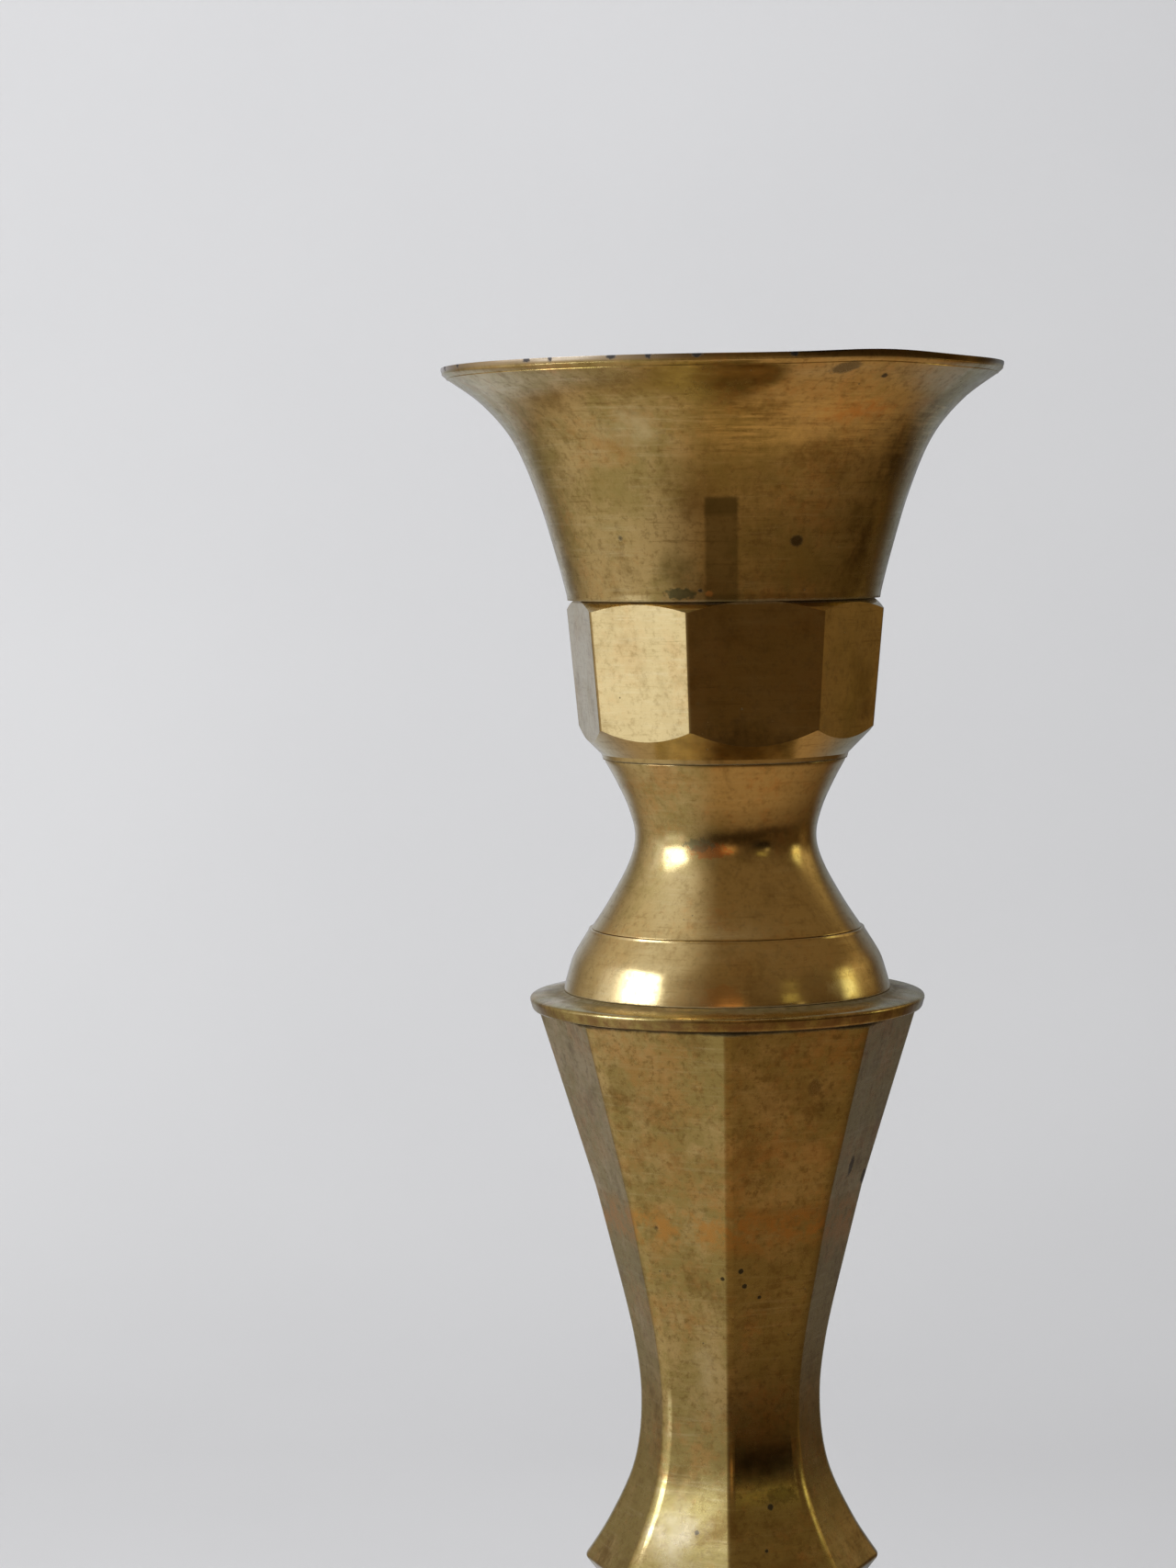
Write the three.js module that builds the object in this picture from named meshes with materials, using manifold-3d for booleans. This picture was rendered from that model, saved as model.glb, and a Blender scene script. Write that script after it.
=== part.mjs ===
// A tall brass candlestick: turned and octagonal castings stacked on one steel tie rod, with a trumpet-shaped
// candle cup on top and an octagonal foot below. Millimetres, +Z up, the origin on the floor under the axis.
// The front is -Y. Every section is hollow, stands on the section below it, and is centred on it by a spigot.

import * as THREE from "three";
import { mergeVertices } from "three/addons/utils/BufferGeometryUtils.js";
import Module from "manifold-3d";

const wasm = await Module();
wasm.setup();

// ---- driving dimensions ----

// Joint planes, from the floor up: each section's underside lies on its plane.
const LEVEL = {
  base: 2.3,
  baseNeck: 138,
  lowerShoulder: 166.7,
  lowerFlange: 180,
  lowerStem: 184,
  middleRing: 336,
  baluster: 346,
  dripFlange: 481.3,
  shoulder: 485.2,
  neck: 497.6,
  collar: 531.8,
  bell: 563.8,
  rim: 610.7,
};

const GAP = 0.3; // play between two pieces that touch
const ROUND_STEPS = 32; // facets round a turned piece
const SMALL_STEPS = 16; // facets round a rod, nut or washer
const OCTAGON = 8;
const CURVE_STEPS = 8; // straight steps along a curved outline

const ROD_RADIUS = 4;
const ROD_HOLE = 4.6;
const SPIGOT_RADIUS = 12;
const SPIGOT_HEIGHT = 2.5;
const WEB = 4; // thickness of the end walls that the rod passes through

const RIM_RADIUS = 56;
const FLANGE_RADIUS = 39.9;
const KNOP_RADIUS = 30.4;
const FOOT_RADIUS = 100;

const SOCKET_BORE = 19.5; // takes a 38 mm altar candle
const SOCKET_OUTSIDE = 22;
const SOCKET_FLANGE = 26.3;
const NUT_POCKET = 13.5; // radius of the well under the candle, which holds the nut
const NUT_FLOOR = 543;
const CANDLE_SEAT = 550;

const BRASS = { color: 0x9c7f45, roughness: 0.38, metalness: 1 };
const STEEL = { color: 0x8d8f92, roughness: 0.45, metalness: 1 };
const FELT = { color: 0x24402f, roughness: 0.95, metalness: 0 };

// ---- helpers ----

// A named mesh of a geometry that is already in the part's frame.
function piece(name, geometry, finish) {
  const mesh = new THREE.Mesh(geometry, new THREE.MeshStandardMaterial(finish));
  mesh.name = name;
  return mesh;
}

// A closed outline of [radius, height] pairs, anticlockwise seen with the axis on the left, turned round +Z.
function turn(outline, steps) {
  const points = outline.map(([r, z]) => new THREE.Vector2(r, z));
  points.push(points[0].clone());
  const geometry = new THREE.LatheGeometry(points, steps);
  geometry.rotateX(Math.PI / 2);
  return geometry;
}

// A smooth curve through a few [radius, height] pairs, as a list of pairs.
function curve(through, steps = CURVE_STEPS) {
  const spline = new THREE.SplineCurve(through.map(([r, z]) => new THREE.Vector2(r, z)));
  return spline.getPoints(steps).map((p) => [p.x, p.y]);
}

// The pairs moved inwards by a wall thickness, which runs from `first` to `last` along the list.
function inside(pairs, first, last) {
  return pairs.map(([r, z], i) => {
    const [r0, z0] = pairs[Math.max(i - 1, 0)];
    const [r1, z1] = pairs[Math.min(i + 1, pairs.length - 1)];
    const along = Math.hypot(r1 - r0, z1 - z0);
    const wall = first + ((last - first) * i) / (pairs.length - 1);
    return [r - ((z1 - z0) / along) * wall, z + ((r1 - r0) / along) * wall];
  });
}

// The underside of a stacked section: the rod hole and the recess that drops over the spigot below.
function recessAt(z, steps = ROUND_STEPS) {
  const radius = (SPIGOT_RADIUS + GAP) / Math.cos(Math.PI / steps);
  const roof = z + SPIGOT_HEIGHT + GAP;
  return [[ROD_HOLE, roof], [radius, roof], [radius, z]];
}

// The top of a stacked section: the spigot and the rod hole.
const spigotAt = (z) => [
  [SPIGOT_RADIUS, z],
  [SPIGOT_RADIUS, z + SPIGOT_HEIGHT],
  [ROD_HOLE, z + SPIGOT_HEIGHT],
];

// A stacked section: its outer outline from bottom to top, and its core, if it is hollow, from top to bottom.
function section(name, bottom, top, outer, core, steps) {
  return piece(name, turn([...recessAt(bottom, steps), ...outer, ...spigotAt(top), ...core], steps), BRASS);
}

// A core with straight ends: the hollow between the two end walls of a section.
const coreBetween = (bottom, top, pairs) => [
  [ROD_HOLE, top - WEB],
  ...pairs,
  [ROD_HOLE, bottom + WEB + SPIGOT_HEIGHT],
];

// A closed geometry as a manifold-3d solid.
function solid(geometry) {
  const bare = geometry.clone();
  bare.deleteAttribute("normal");
  bare.deleteAttribute("uv");
  const merged = mergeVertices(bare, 1e-3);
  return new wasm.Manifold(
    new wasm.Mesh({
      numProp: 3,
      vertProperties: merged.attributes.position.array,
      triVerts: new Uint32Array(merged.index.array),
    }),
  );
}

// A manifold-3d solid as a geometry.
function geometryOf(made) {
  const { vertProperties, triVerts } = made.getMesh();
  return new THREE.BufferGeometry()
    .setAttribute("position", new THREE.BufferAttribute(vertProperties, 3))
    .setIndex(new THREE.BufferAttribute(triVerts, 1));
}

// A disc or prism with a round hole for the rod.
function holed(sides, radius, hole, bottom, height) {
  const shape = new THREE.Shape();
  for (let i = 0; i < sides; i += 1) {
    const a = (2 * Math.PI * i) / sides;
    shape[i ? "lineTo" : "moveTo"](radius * Math.cos(a), radius * Math.sin(a));
  }
  shape.holes.push(new THREE.Path().absarc(0, 0, hole, 0, 2 * Math.PI, true));
  const settings = { depth: height, bevelEnabled: false, curveSegments: SMALL_STEPS };
  return new THREE.ExtrudeGeometry(shape, settings).translate(0, 0, bottom);
}

// ---- the candle cup ----

const LIP_STEPS = 40;

// The lip was once knocked: over a short arc right of the front it is bent up and in.
const DENT = { degrees: 34, spread: 11, lift: 0.8, pull: 0.7, depth: 10 };

function bendLip(geometry) {
  const at = geometry.attributes.position;
  for (let i = 0; i < at.count; i += 1) {
    const [x, y, z] = [at.getX(i), at.getY(i), at.getZ(i)];
    const radius = Math.hypot(x, y);
    const degrees = THREE.MathUtils.radToDeg(Math.atan2(x, -y)) - DENT.degrees;
    const high = THREE.MathUtils.smoothstep(z, LEVEL.rim - DENT.depth, LEVEL.rim);
    const share = high * Math.exp(-((degrees / DENT.spread) ** 2) / 2);
    const scale = (radius - DENT.pull * share) / radius;
    at.setXYZ(i, x * scale, y * scale, z + DENT.lift * share);
  }
  return geometry;
}

const CUP_FLOOR = LEVEL.bell + 2.7; // upper face of the ring in the cup's foot that the socket holds down

// The cup flares from its seat on the collar to a thin lip.
function bellCup() {
  const seat = LEVEL.bell;
  const shank = [[31.6, seat + 1.2], [33.4, 572], [37.2, 584.6]];
  const flare = curve([...shank, [41.9, 595.6], [48.1, 603.1], [55.2, 608.3], [RIM_RADIUS, 609.2]], 11);
  const bowl = inside(flare.slice(1), 2.7, 1.3).reverse();
  const outline = [
    [SOCKET_OUTSIDE + GAP, seat],
    [30.4, seat],
    ...flare,
    [RIM_RADIUS + 0.2, LEVEL.rim - 0.6],
    ...bowl,
    [SOCKET_FLANGE + GAP, CUP_FLOOR],
    [SOCKET_OUTSIDE + GAP, CUP_FLOOR],
  ];
  return piece("bell_cup", bendLip(turn(outline, LIP_STEPS)), BRASS);
}

// The socket hangs through the cup into the collar. Its floor steps down to a well for the nut that holds it.
function candleSocket() {
  const flange = CUP_FLOOR + GAP;
  const outline = [
    [ROD_HOLE, NUT_FLOOR - WEB],
    [SOCKET_OUTSIDE, NUT_FLOOR - WEB],
    [SOCKET_OUTSIDE, flange],
    [SOCKET_FLANGE, flange],
    [SOCKET_FLANGE, flange + 1.2],
    [SOCKET_FLANGE - 0.6, flange + 1.8],
    [SOCKET_BORE + 0.7, flange + 1.8],
    [SOCKET_BORE, flange + 1.1],
    [SOCKET_BORE, CANDLE_SEAT],
    [NUT_POCKET, CANDLE_SEAT],
    [NUT_POCKET, NUT_FLOOR],
    [ROD_HOLE, NUT_FLOOR],
  ];
  return piece("candle_socket", turn(outline, ROUND_STEPS), BRASS);
}

// ---- the octagonal collar ----

// Its flats are ground on a turned ring with chamfered ends: four wide ones and four narrow ones in turn.
const WIDE_FLAT_DEGREES = 49;
const COLLAR_TURN_DEGREES = 12; // the first wide flat faces this far right of the front

function octagonFrustum(bottom, top, bottomRadius, topRadius) {
  const geometry = new THREE.CylinderGeometry(topRadius, bottomRadius, top - bottom, OCTAGON);
  const at = geometry.attributes.position;
  const shift = WIDE_FLAT_DEGREES / 2 - 22.5;
  for (let i = 0; i < at.count; i += 1) {
    const radius = Math.hypot(at.getX(i), at.getZ(i));
    const corner = Math.round(THREE.MathUtils.radToDeg(Math.atan2(at.getX(i), at.getZ(i))) / 45);
    const degrees = 45 * corner + 22.5 + (corner % 2 ? -shift : shift) + COLLAR_TURN_DEGREES;
    const turned = THREE.MathUtils.degToRad(degrees);
    at.setXYZ(i, radius * Math.sin(turned), at.getY(i), radius * Math.cos(turned));
  }
  geometry.rotateX(Math.PI / 2);
  return geometry.translate(0, 0, (bottom + top) / 2);
}

function octagonCollar() {
  const bottom = LEVEL.collar;
  const top = LEVEL.bell - GAP;
  const ring = turn(
    [
      ...recessAt(bottom),
      [24.6, bottom],
      [24.9, bottom + 1],
      [34, bottom + 10.9],
      [34, top - 2.2],
      [30.4, top],
      [SOCKET_OUTSIDE + GAP, top],
      [SOCKET_OUTSIDE + GAP, NUT_FLOOR - WEB - GAP],
      [ROD_HOLE, NUT_FLOOR - WEB - GAP],
    ],
    ROUND_STEPS,
  );
  const flats = octagonFrustum(bottom - 1, top + 1, 29.8, 33);
  return piece("octagon_collar", geometryOf(solid(ring).intersect(solid(flats))), BRASS);
}

// ---- the turned sections of the head ----

function neck() {
  const bottom = LEVEL.neck;
  const top = LEVEL.collar - GAP;
  const waist = curve(
    [[27.3, bottom], [23.7, 503.1], [19.7, 510.5], [18.3, 516.1], [19.5, 521.7], [22, 527.3], [24.3, top]],
    10,
  );
  const core = [[14, top - WEB], [11.5, 518], [11.5, 513], [16, bottom + WEB + SPIGOT_HEIGHT]];
  return section("neck", bottom, top, waist, coreBetween(bottom, top, core), ROUND_STEPS);
}

// A low solid dome, widest against the flange: the head has one narrow end up, the foot one narrow end down.
function shoulder(name, bottom, top, narrowEndUp) {
  const wideEnd = [[32.6, 0], [33, 0.8], [32.5, 3]];
  const dome = curve([...wideEnd, [31.1, 6.8], [28.8, 10.5], [27.8, top - bottom]], 7);
  const outer = dome.map(([r, fromWide]) => [r, narrowEndUp ? bottom + fromWide : top - fromWide]);
  return section(name, bottom, top, narrowEndUp ? outer : outer.reverse(), [], ROUND_STEPS);
}

// A thin turned disc that slopes to a rounded edge.
function flange(name, bottom, top) {
  const outline = [
    ...recessAt(bottom),
    [FLANGE_RADIUS - 1.7, bottom],
    [FLANGE_RADIUS - 0.3, bottom + 0.3],
    [FLANGE_RADIUS, bottom + 1],
    [FLANGE_RADIUS, bottom + 1.9],
    [FLANGE_RADIUS - 0.6, bottom + 2.6],
    [FLANGE_RADIUS - 1.9, bottom + 3],
    [33.4, top],
    ...spigotAt(top),
  ];
  return piece(name, turn(outline, ROUND_STEPS), BRASS);
}

// ---- the octagonal castings of the stem ----

// Widest under the flange, waisted, then flared to the sharp knop and drawn in again below it.
function upperBaluster() {
  const bottom = LEVEL.baluster;
  const top = LEVEL.dripFlange - GAP;
  const knop = [KNOP_RADIUS, 368.3];
  const foot = curve([[19.6, bottom], [20.6, 351], [24.6, 360.4], knop], 6);
  const waist = [[20.1, 387.9], [18.6, 401], [20.1, 414.6]];
  const shaft = curve([knop, [25.2, 376.4], ...waist, [24.6, 433.5], [27.5, 445]], 14).slice(1);
  const core = [
    [29, top - WEB],
    ...inside(shaft.slice(2), 4, 4).reverse(),
    [14.5, 374],
    [14.5, bottom + WEB + SPIGOT_HEIGHT],
  ];
  const outer = [...foot, ...shaft, [38.6, top]];
  return section("upper_baluster", bottom, top, outer, coreBetween(bottom, top, core), OCTAGON);
}

// The long lower casting: slim under the ring and widening to the flange.
function lowerStem() {
  const bottom = LEVEL.lowerStem;
  const top = LEVEL.middleRing - GAP;
  const broad = [[36, bottom], [33, 195], [27, 223]];
  const side = curve([...broad, [21.5, 262], [18.6, 305], [18.4, 324], [19.6, top]], 14);
  const core = [
    [12.6, top - WEB],
    ...inside(side.slice(3, -1), 4, 4).reverse(),
    [26, bottom + WEB + SPIGOT_HEIGHT],
  ];
  return section("lower_stem", bottom, top, side, coreBetween(bottom, top, core), OCTAGON);
}

// ---- the middle ring ----

function middleRing() {
  const bottom = LEVEL.middleRing;
  const top = LEVEL.baluster - GAP;
  const half = (top - bottom) / 2;
  const bead = [];
  for (let degrees = -75; degrees <= 75; degrees += 30) {
    const a = THREE.MathUtils.degToRad(degrees);
    bead.push([21 + 4.6 * Math.cos(a), bottom + half + (half - 0.9) * Math.sin(a)]);
  }
  const outline = [...recessAt(bottom), [21, bottom], ...bead, [21, top], ...spigotAt(top)];
  return piece("middle_ring", turn(outline, ROUND_STEPS), BRASS);
}

// ---- the foot ----

function baseNeck() {
  const bottom = LEVEL.baseNeck;
  const top = LEVEL.lowerShoulder - GAP;
  const throat = curve([[35, bottom + 3], [28.6, 144.5], [24.6, 150.5], [24.2, 157], [27.6, top]]);
  const core = [[18, top - WEB], [18, bottom + WEB + SPIGOT_HEIGHT]];
  const outer = [[36.6, bottom], [37, bottom + 1.6], ...throat];
  return section("base_neck", bottom, top, outer, coreBetween(bottom, top, core), ROUND_STEPS);
}

const RIM_WIDTH = 14; // of the solid rim that the foot stands on
const END_WALL = 6; // the wall at the top of the foot that the rod pulls against

// An octagonal bell of cast brass on a low stepped plinth, open underneath.
function octagonBase() {
  const bottom = LEVEL.base;
  const top = LEVEL.baseNeck - GAP;
  const slope = curve([[90, 24], [70, 42], [53, 70], [43, 100], [38, 126], [38.5, top]], 12);
  const outline = [
    [FOOT_RADIUS - RIM_WIDTH, bottom],
    [FOOT_RADIUS, bottom],
    [FOOT_RADIUS, 15],
    [FOOT_RADIUS - 3, 18],
    [93, 19],
    [93, 22.5],
    ...slope,
    ...spigotAt(top),
    [ROD_HOLE, top - END_WALL],
    [32, top - END_WALL],
    ...inside(slope.slice(1, -2), 4, 4).reverse(),
    [FOOT_RADIUS - RIM_WIDTH, 15],
  ];
  return piece("octagon_base", turn(outline, OCTAGON), BRASS);
}

function feltRing() {
  const outside = FOOT_RADIUS - 1.5;
  const hole = FOOT_RADIUS - RIM_WIDTH;
  const top = LEVEL.base - GAP;
  return piece("felt_ring", turn([[hole, 0], [outside, 0], [outside, top], [hole, top]], OCTAGON), FELT);
}

// ---- the tie rod and its fasteners ----

const ROD_BOTTOM = 113;
const ROD_TOP = NUT_FLOOR + 6.5;

function tieRod() {
  const chamfer = 0.8;
  const outline = [
    [0, ROD_BOTTOM],
    [ROD_RADIUS - chamfer, ROD_BOTTOM],
    [ROD_RADIUS, ROD_BOTTOM + chamfer],
    [ROD_RADIUS, ROD_TOP - chamfer],
    [ROD_RADIUS - chamfer, ROD_TOP],
    [0, ROD_TOP],
  ];
  return piece("tie_rod", turn(outline, SMALL_STEPS), STEEL);
}

function cupWasher() {
  const thickness = 1.4;
  return piece("cup_washer", holed(SMALL_STEPS, 12.5, ROD_RADIUS + GAP, NUT_FLOOR + GAP, thickness), BRASS);
}

// The round brass nut in the well under the candle, with a slot across it for a broad screwdriver.
function cupNut() {
  const bottom = NUT_FLOOR + 2;
  const height = 4.5;
  const outline = [
    [ROD_RADIUS + GAP, bottom],
    [9.5, bottom],
    [9.5, bottom + height - 0.8],
    [8.7, bottom + height],
    [ROD_RADIUS + GAP, bottom + height],
  ];
  const slot = new THREE.BoxGeometry(24, 2.4, 4).translate(0, 0, bottom + height);
  return piece("cup_nut", geometryOf(solid(turn(outline, SMALL_STEPS)).subtract(solid(slot))), BRASS);
}

// The fasteners under the foot's end wall, from the top down.
const PLATE_TOP = LEVEL.baseNeck - GAP - END_WALL - GAP;
const LOCK_WASHER_TOP = PLATE_TOP - 3 - GAP;
const NUT_TOP = LOCK_WASHER_TOP - 2 - GAP;

// A dished steel plate with a turned-up edge.
function clampPlate() {
  const top = PLATE_TOP;
  const outline = [
    [ROD_HOLE, top - 3],
    [9, top - 3],
    [22, top - 5],
    [25, top - 5],
    [25, top],
    [23, top],
    [21, top - 2.6],
    [9, top - 0.6],
    [ROD_HOLE, top - 0.6],
  ];
  return piece("clamp_plate", turn(outline, ROUND_STEPS), STEEL);
}

// A split ring, open at the front and pressed flat by the nut.
function lockWasher() {
  const shape = new THREE.Shape();
  const split = 0.16;
  shape.absarc(0, 0, 7.2, split, 2 * Math.PI - split, false);
  shape.absarc(0, 0, ROD_RADIUS + GAP, 2 * Math.PI - split, split, true);
  const settings = { depth: 2, bevelEnabled: false, curveSegments: SMALL_STEPS };
  const ring = new THREE.ExtrudeGeometry(shape, settings).rotateZ(-Math.PI / 2);
  return piece("lock_washer", ring.translate(0, 0, LOCK_WASHER_TOP - 2), STEEL);
}

function baseNut() {
  const height = 6.5;
  return piece("base_nut", holed(6, 7.5, ROD_RADIUS + GAP, NUT_TOP - height, height), STEEL);
}

// ---- the assembly ----

const candlestick = new THREE.Group();
candlestick.add(
  bellCup(),
  candleSocket(),
  octagonCollar(),
  neck(),
  shoulder("upper_shoulder", LEVEL.shoulder, LEVEL.neck - GAP, true),
  flange("drip_flange", LEVEL.dripFlange, LEVEL.shoulder - GAP),
  upperBaluster(),
  middleRing(),
  lowerStem(),
  flange("lower_flange", LEVEL.lowerFlange, LEVEL.lowerStem - GAP),
  shoulder("lower_shoulder", LEVEL.lowerShoulder, LEVEL.lowerFlange - GAP, false),
  baseNeck(),
  octagonBase(),
  feltRing(),
  tieRod(),
  cupWasher(),
  cupNut(),
  clampPlate(),
  lockWasher(),
  baseNut(),
);

export default candlestick;
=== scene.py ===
"""A tall brass candlestick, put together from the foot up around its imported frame. Metres, +Z up, front at -Y."""

import math

import bpy
from mathutils import Euler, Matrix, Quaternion, Vector


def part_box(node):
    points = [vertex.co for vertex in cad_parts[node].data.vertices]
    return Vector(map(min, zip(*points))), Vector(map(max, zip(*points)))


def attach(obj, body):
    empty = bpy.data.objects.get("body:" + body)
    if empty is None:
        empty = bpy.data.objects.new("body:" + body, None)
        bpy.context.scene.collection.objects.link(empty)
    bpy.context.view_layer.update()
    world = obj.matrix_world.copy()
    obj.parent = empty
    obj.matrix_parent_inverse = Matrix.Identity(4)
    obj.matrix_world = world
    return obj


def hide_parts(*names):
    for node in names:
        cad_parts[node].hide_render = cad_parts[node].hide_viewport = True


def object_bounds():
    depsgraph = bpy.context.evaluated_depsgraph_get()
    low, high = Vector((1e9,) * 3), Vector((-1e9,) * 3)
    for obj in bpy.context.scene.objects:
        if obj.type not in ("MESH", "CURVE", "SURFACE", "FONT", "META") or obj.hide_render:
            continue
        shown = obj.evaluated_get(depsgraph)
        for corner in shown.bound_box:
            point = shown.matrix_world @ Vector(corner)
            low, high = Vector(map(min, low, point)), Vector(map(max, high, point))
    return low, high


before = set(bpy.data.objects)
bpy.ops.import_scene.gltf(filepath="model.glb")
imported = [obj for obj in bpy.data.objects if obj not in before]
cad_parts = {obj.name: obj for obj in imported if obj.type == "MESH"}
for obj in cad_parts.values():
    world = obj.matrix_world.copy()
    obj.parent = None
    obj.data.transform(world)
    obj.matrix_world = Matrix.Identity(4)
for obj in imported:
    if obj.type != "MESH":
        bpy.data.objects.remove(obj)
cad_low, cad_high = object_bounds()
MM = 0.001

# ---- the view ----
# The camera stands at arm's length, level with the candle cup, and looks a little down and to the left of it.
# It is rolled slightly, so that the head leans to the left.
EYE_BELOW_TOP = 32.7 * MM
EYE_DISTANCE = 731 * MM
bpy.ops.object.camera_add(location=(0, -EYE_DISTANCE, cad_high.z - EYE_BELOW_TOP))
camera = bpy.context.object
camera.data.lens = 83.3
aim = Euler((math.radians(90 - 4.03), 0, math.radians(2.17))).to_quaternion()
camera.rotation_euler = (aim @ Quaternion((0, 0, 1), math.radians(-0.65))).to_euler()
bpy.context.scene.camera = camera
bpy.context.scene.view_settings.view_transform = "Standard"


# ---- the room ----
# A pale floor sweeps up into a wall behind the candlestick. A tall window stands on the left and a narrow lamp
# on the right, and the rest of the room is dim and warm.


class Socket:
    """One output in a node tree, so that shader maths is written as arithmetic."""

    def __init__(self, tree, output):
        self.tree = tree
        self.output = output

    def _maths(self, operation, first, second):
        return self.tree.node("ShaderNodeMath", {"operation": operation}, [first, second])

    def __add__(self, other):
        return self._maths("ADD", self, other)

    def __radd__(self, other):
        return self._maths("ADD", other, self)

    def __sub__(self, other):
        return self._maths("SUBTRACT", self, other)

    def __rsub__(self, other):
        return self._maths("SUBTRACT", other, self)

    def __mul__(self, other):
        return self._maths("MULTIPLY", self, other)

    def __rmul__(self, other):
        return self._maths("MULTIPLY", other, self)

    def __pow__(self, other):
        return self._maths("POWER", self, other)

    def __abs__(self):
        return self._maths("ABSOLUTE", self, 0)

    def rises(self, low, high):
        """0 below `low`, 1 above `high`, and a soft step between them. It falls if `low` is the greater."""
        return self.tree.node(
            "ShaderNodeMapRange",
            {"interpolation_type": "SMOOTHSTEP"},
            {"Value": self, "From Min": low, "From Max": high},
        )


class Tree:
    """A node tree in the making."""

    def __init__(self, holder):
        holder.use_nodes = True
        self.nodes = holder.node_tree.nodes
        self.links = holder.node_tree.links
        self.nodes.clear()

    def node(self, kind, settings=None, inputs=(), output=0):
        """Adds a node, sets it up, fills or links its inputs, and gives one of its outputs."""
        made = self.nodes.new(kind)
        for name, value in (settings or {}).items():
            setattr(made, name, value)
        for key, value in inputs.items() if isinstance(inputs, dict) else enumerate(inputs):
            if isinstance(value, Socket):
                self.links.new(value.output, made.inputs[key])
            else:
                made.inputs[key].default_value = value
        return Socket(self, made.outputs[output]) if made.outputs else made

    def mix(self, share, below, above):
        """The colour `below`, covered by the colour `above` to that share."""
        below, above = [(*c, 1) if isinstance(c, tuple) else c for c in (below, above)]
        return self.node("ShaderNodeMix", {"data_type": "RGBA"}, {0: share, 6: below, 7: above}, output=2)

    def axes(self, vector):
        """The X, Y and Z of a vector."""
        return [self.node("ShaderNodeSeparateXYZ", inputs=[vector], output=i) for i in range(3)]


WALL_DISTANCE = 2.6
bpy.ops.mesh.primitive_plane_add(size=16, location=(0, WALL_DISTANCE - 8, 0))
floor = bpy.context.object
floor.name = "floor"
bpy.ops.object.transform_apply(location=True, rotation=False, scale=False)
bpy.ops.object.mode_set(mode="EDIT")
bpy.ops.mesh.select_all(action="DESELECT")
bpy.ops.object.mode_set(mode="OBJECT")
for edge in floor.data.edges:
    edge.select = all(floor.data.vertices[i].co.y > 0 for i in edge.vertices)
bpy.ops.object.mode_set(mode="EDIT")
bpy.ops.mesh.select_mode(type="EDGE")
bpy.ops.mesh.extrude_region_move(TRANSFORM_OT_translate={"value": (0, 0, 5)})
bpy.ops.mesh.select_all(action="DESELECT")
bpy.ops.object.mode_set(mode="OBJECT")
for edge in floor.data.edges:
    ends = [floor.data.vertices[i].co for i in edge.vertices]
    edge.select = all(end.y > 0 and end.z < MM for end in ends)
bpy.ops.object.mode_set(mode="EDIT")
bpy.ops.mesh.bevel(offset=1.1, segments=24, profile=0.5)
bpy.ops.object.mode_set(mode="OBJECT")
bpy.ops.object.shade_smooth()
floor.visible_glossy = False

plaster = bpy.data.materials.new("pale_plaster")
tree = Tree(plaster)
place = tree.node("ShaderNodeTexCoord", output="Object")
cloud = tree.node("ShaderNodeTexNoise", inputs={"Vector": place, "Scale": 1.3, "Detail": 4})
speck = tree.node("ShaderNodeTexNoise", inputs={"Vector": place, "Scale": 240, "Detail": 2})
tone = tree.mix(cloud.rises(0.3, 0.7), (0.71, 0.71, 0.73), (0.74, 0.74, 0.76))
skin = tree.node("ShaderNodeBump", inputs={"Strength": 0.05, "Distance": MM, "Height": speck})
paint = tree.node("ShaderNodeBsdfPrincipled", inputs={"Base Color": tone, "Roughness": 0.9, "Normal": skin})
tree.node("ShaderNodeOutputMaterial", inputs={"Surface": paint})
floor.data.materials.append(plaster)

room = bpy.data.worlds.new("room")
bpy.context.scene.world = room
tree = Tree(room)
right, away, up = tree.axes(tree.node("ShaderNodeTexCoord", output="Generated"))
azimuth = tree.node("ShaderNodeMath", {"operation": "ARCTAN2"}, [right, away * -1]) * (180 / math.pi)
elevation = tree.node("ShaderNodeMath", {"operation": "ARCSINE"}, [up]) * (180 / math.pi)


def patch(centre, width, bottom, top, edge):
    """A soft-edged rectangle of the room as the candlestick sees it, in degrees."""
    across = abs(azimuth - centre).rises(width / 2 + edge, width / 2 - edge)
    return across * elevation.rises(bottom - edge, bottom + edge) * elevation.rises(top + edge, top - edge)


light = tree.mix(elevation.rises(-12, -60), (0.066, 0.036, 0.011), (0.32, 0.2, 0.09))
light = tree.mix(elevation.rises(0, 40), light, (0.16, 0.1, 0.04))
light = tree.mix(elevation.rises(60, 80), light, (0.85, 0.78, 0.66))
left_side = abs(azimuth + 84).rises(78, 18) * elevation.rises(-95, -55) * elevation.rises(90, 60)
light = tree.mix(left_side, light, tree.mix(elevation.rises(-10, 40), (0.42, 0.35, 0.24), (0.58, 0.5, 0.36)))
light = tree.mix(patch(-68, 26, -17, -3, 5), light, (0.92, 0.9, 0.84))
light = tree.mix(patch(-66, 46, 30, 50, 14), light, (0.68, 0.64, 0.56))
light = tree.mix(patch(46, 24, -6, 10, 4), light, (0.01, 0.005, 0.001))
light = tree.mix(patch(47, 12, 17, 21, 3), light, (0.5, 0.4, 0.12))
light = tree.mix(patch(3, 18, 4, 19, 5), light, (0.5, 0.27, 0.1))
light = tree.mix(patch(-92, 22, -4, 30, 8), light, (0.78, 0.74, 0.68))
light = tree.mix(patch(118, 28, 6, 24, 8), light, (0.4, 0.28, 0.12))
light = tree.mix(patch(54, 3, 9, 14, 2), light, (0.9, 0.7, 0.3))
light = tree.mix(patch(117, 16, -14, 6, 8), light, (0.15, 0.09, 0.03))
light = tree.mix(patch(100, 13, 6, 20, 5), light, (1.15, 1.0, 0.42))
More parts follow.
